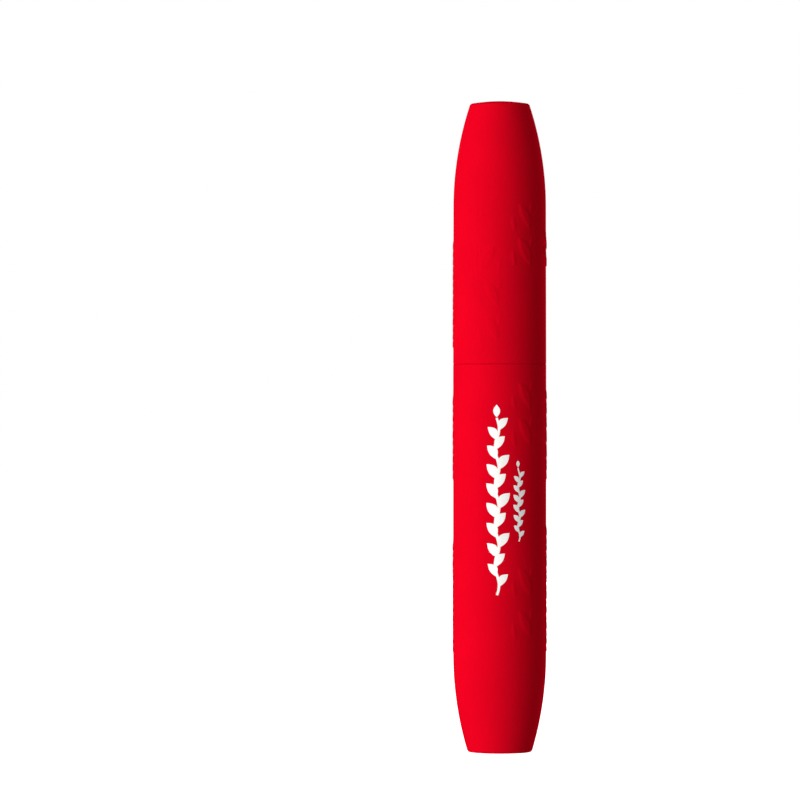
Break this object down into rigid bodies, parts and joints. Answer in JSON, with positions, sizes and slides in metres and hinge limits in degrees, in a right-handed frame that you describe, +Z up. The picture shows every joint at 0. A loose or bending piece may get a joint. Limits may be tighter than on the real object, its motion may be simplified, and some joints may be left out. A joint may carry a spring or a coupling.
{
  "type": "mascara tube",
  "caption": "Slim tapered makeup tube with a screw cap that carries a rod and a twisted-wire brush, and a base that holds the bottle.",
  "frame": {"origin": "centre of the flat foot that the tube stands on", "axes": "+Z up along the tube from foot to cap; the print faces -Y"},
  "size_m": [0.0194, 0.0194, 0.1326],
  "materials": {
    "soft_touch_red": "soft-touch coating, fine matte, raised motifs of the same colour",
    "black_closure": "moulded polypropylene, satin",
    "black_stem": "moulded, polished",
    "fibre_black": "fine nylon fibres",
    "wire_steel": "drawn wire, dulled by coating",
    "weight_steel": "turned slug",
    "wiper_natural": "soft polyethylene, milky, satin",
    "washer_foam": "soft sealing sheet",
    "bottle_black": "moulded polypropylene, glossy",
    "print_white": "screen-printed ink"
  },
  "bodies": {
    "base": {"base_shell": "soft_touch_red", "bottle": "bottle_black", "wiper": "wiper_natural"},
    "seal": {"seal_washer": "washer_foam"},
    "weight": {"cap_weight": "weight_steel"},
    "cap": {"cap_shell": "soft_touch_red", "cap_insert": "black_closure", "stem": "black_stem", "brush_wire": "wire_steel", "bristles": "fibre_black"}
  },
  "joints": [
    {"name": "applicator_pull", "type": "slide", "parent": "base", "child": "seal", "axis": [0, 0, 1], "range_m": [0, 0.068], "deforming": ["bristles"]},
    {"name": "cap_rise", "type": "slide", "parent": "seal", "child": "weight", "axis": [0, 0, 1], "range_m": [0, 0.0045]},
    {"name": "cap_turn", "type": "hinge", "parent": "weight", "child": "cap", "pos_m": [0, 0, 0.085], "axis": [0, 0, 1], "range_deg": [0, 540]}
  ],
  "couplings": [
    {"joint": "cap_rise", "follows": "cap_turn", "m_per_rad": 0.00047746}
  ]
}
